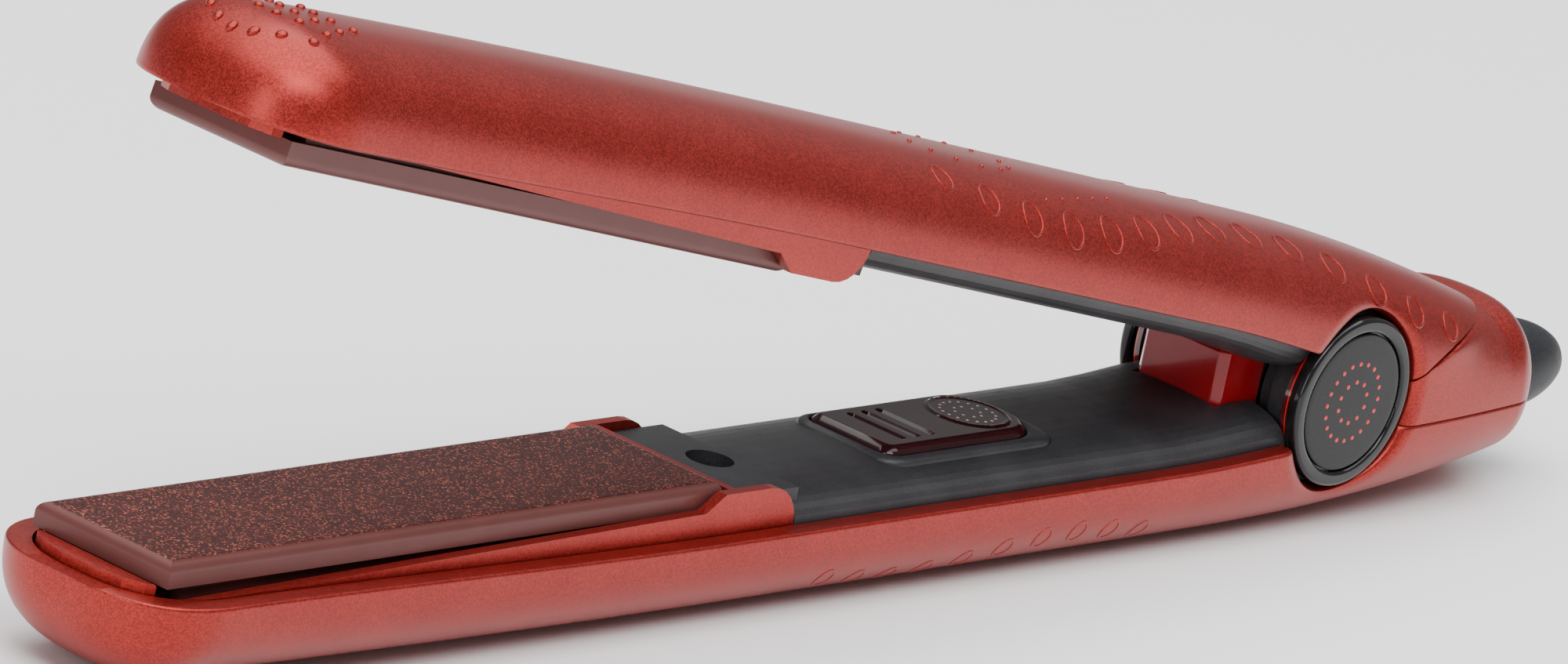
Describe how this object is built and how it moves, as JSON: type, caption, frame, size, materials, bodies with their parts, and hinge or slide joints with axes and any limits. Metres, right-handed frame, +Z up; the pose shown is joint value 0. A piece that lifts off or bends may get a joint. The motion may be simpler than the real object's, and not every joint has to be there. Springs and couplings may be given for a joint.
{
  "type": "flat iron",
  "caption": "Hand-held hair straightener: two slim hinged arms with floating heated plates facing each other, a thumb button, round hinge caps and a swivelling cord outlet.",
  "frame": {"origin": "centre of the bounding box with the arms open, on the underside of the lower arm", "axes": "+X along the lower arm from the nose to the cord swivel, +Y across the arms, +Z up from the underside to the plates"},
  "size_m": [0.2666, 0.03, 0.0768],
  "materials": {
    "shell_paint": "satin metallic red paint on moulded plastic",
    "frame_paint": "satin metallic red paint on moulded plastic",
    "cover_plastic": "fine-textured soft-touch plastic",
    "gloss_black": "polished",
    "light_ring": "clear dark red",
    "gloss_red": "polished dark red",
    "swivel_rubber": "fine matte",
    "plate_coating": "glossy dark maroon ceramic coating with fine glitter",
    "heater_ceramic": "fired ceramic, alumina",
    "clip_steel": "spring steel",
    "axle_steel": "ground steel",
    "screw_steel": "zinc plated",
    "black_screw": "black oxide",
    "bush_bronze": "sintered bronze",
    "slip_brass": "polished brass",
    "mica_sheet": "mica sheet",
    "board_green": "solder mask on glass laminate",
    "part_black": "moulded",
    "capacitor_sleeve": "shrink sleeve",
    "lamp_red": "clear red lens",
    "wire_silicone": "silicone insulation",
    "sensor_glass": "glass bead",
    "fuse_metal": "plated case"
  },
  "bodies": {
    "lower_arm": {"lower_shell": "shell_paint", "rear_cover": "shell_paint", "lower_inner_cover": "cover_plastic", "lower_plate_frame": "frame_paint", "button_surround": "cover_plastic", "lower_hinge_frame": "cover_plastic", "hinge_axle": "axle_steel", "disc_cap_near": "gloss_black", "disc_cap_far": "gloss_black", "disc_face_near": "gloss_black", "disc_face_far": "gloss_black", "light_ring_near": "light_ring", "light_ring_far": "light_ring", "hinge_block": "gloss_red", "opening_spring": "clip_steel", "lower_heat_shield": "mica_sheet", "lower_plate_springs": "clip_steel", "control_board": "board_green", "power_module": "part_black", "smoothing_capacitor": "capacitor_sleeve", "buzzer": "part_black", "controller_chip": "part_black", "push_switch": "part_black", "status_lamp": "lamp_red", "board_screws": "screw_steel", "lower_frame_screws": "screw_steel", "lower_cover_screw": "black_screw", "lower_hinge_screws": "screw_steel", "lower_wiring": "wire_silicone", "brush_block": "part_black"},
    "upper_arm": {"upper_shell": "shell_paint", "upper_inner_cover": "cover_plastic", "upper_plate_frame": "frame_paint", "upper_hinge_frame": "cover_plastic", "hinge_bushes": "bush_bronze", "upper_heat_shield": "mica_sheet", "upper_plate_springs": "clip_steel", "upper_frame_screws": "screw_steel", "upper_cover_screw": "black_screw", "upper_hinge_screws": "screw_steel", "upper_wiring": "wire_silicone"},
    "lower_plate_carrier": {"lower_plate": "plate_coating", "lower_heater": "heater_ceramic", "lower_heater_clip": "clip_steel", "lower_heat_sensor": "sensor_glass", "lower_thermal_fuse": "fuse_metal"},
    "upper_plate_carrier": {"upper_plate": "plate_coating", "upper_heater": "heater_ceramic", "upper_heater_clip": "clip_steel", "upper_heat_sensor": "sensor_glass", "upper_thermal_fuse": "fuse_metal"},
    "button": {"power_button": "gloss_black"},
    "swivel": {"cord_swivel": "swivel_rubber", "slip_rings": "slip_brass", "swivel_clip": "clip_steel"}
  },
  "joints": [
    {"name": "arm_hinge", "type": "hinge", "parent": "lower_arm", "child": "upper_arm", "pos_m": [0.07715, 0, 0.017], "axis": [0, -1, 0], "range_deg": [0, 12.8], "stiffness_Nm_per_rad": 0.5, "springref_deg": -34.38, "deforming": ["opening_spring"]},
    {"name": "lower_plate_float", "type": "slide", "parent": "lower_arm", "child": "lower_plate_carrier", "axis": [0, 0, -1], "range_m": [0, 0.0008], "stiffness_N_per_m": 4000, "springref_m": -0.0008, "deforming": ["lower_plate_springs"]},
    {"name": "upper_plate_float", "type": "slide", "parent": "upper_arm", "child": "upper_plate_carrier", "axis": [0.2215, 0, 0.9751], "range_m": [0, 0.0008], "stiffness_N_per_m": 4000, "springref_m": -0.0008, "deforming": ["upper_plate_springs"]},
    {"name": "button_press", "type": "slide", "parent": "lower_arm", "child": "button", "axis": [0, 0, -1], "range_m": [0, 0.0008], "stiffness_N_per_m": 1500, "springref_m": -0.0006},
    {"name": "cord_swivel_turn", "type": "hinge", "parent": "lower_arm", "child": "swivel", "pos_m": [0.12, 0, 0.01257], "axis": [1, 0, 0], "continuous": true}
  ]
}
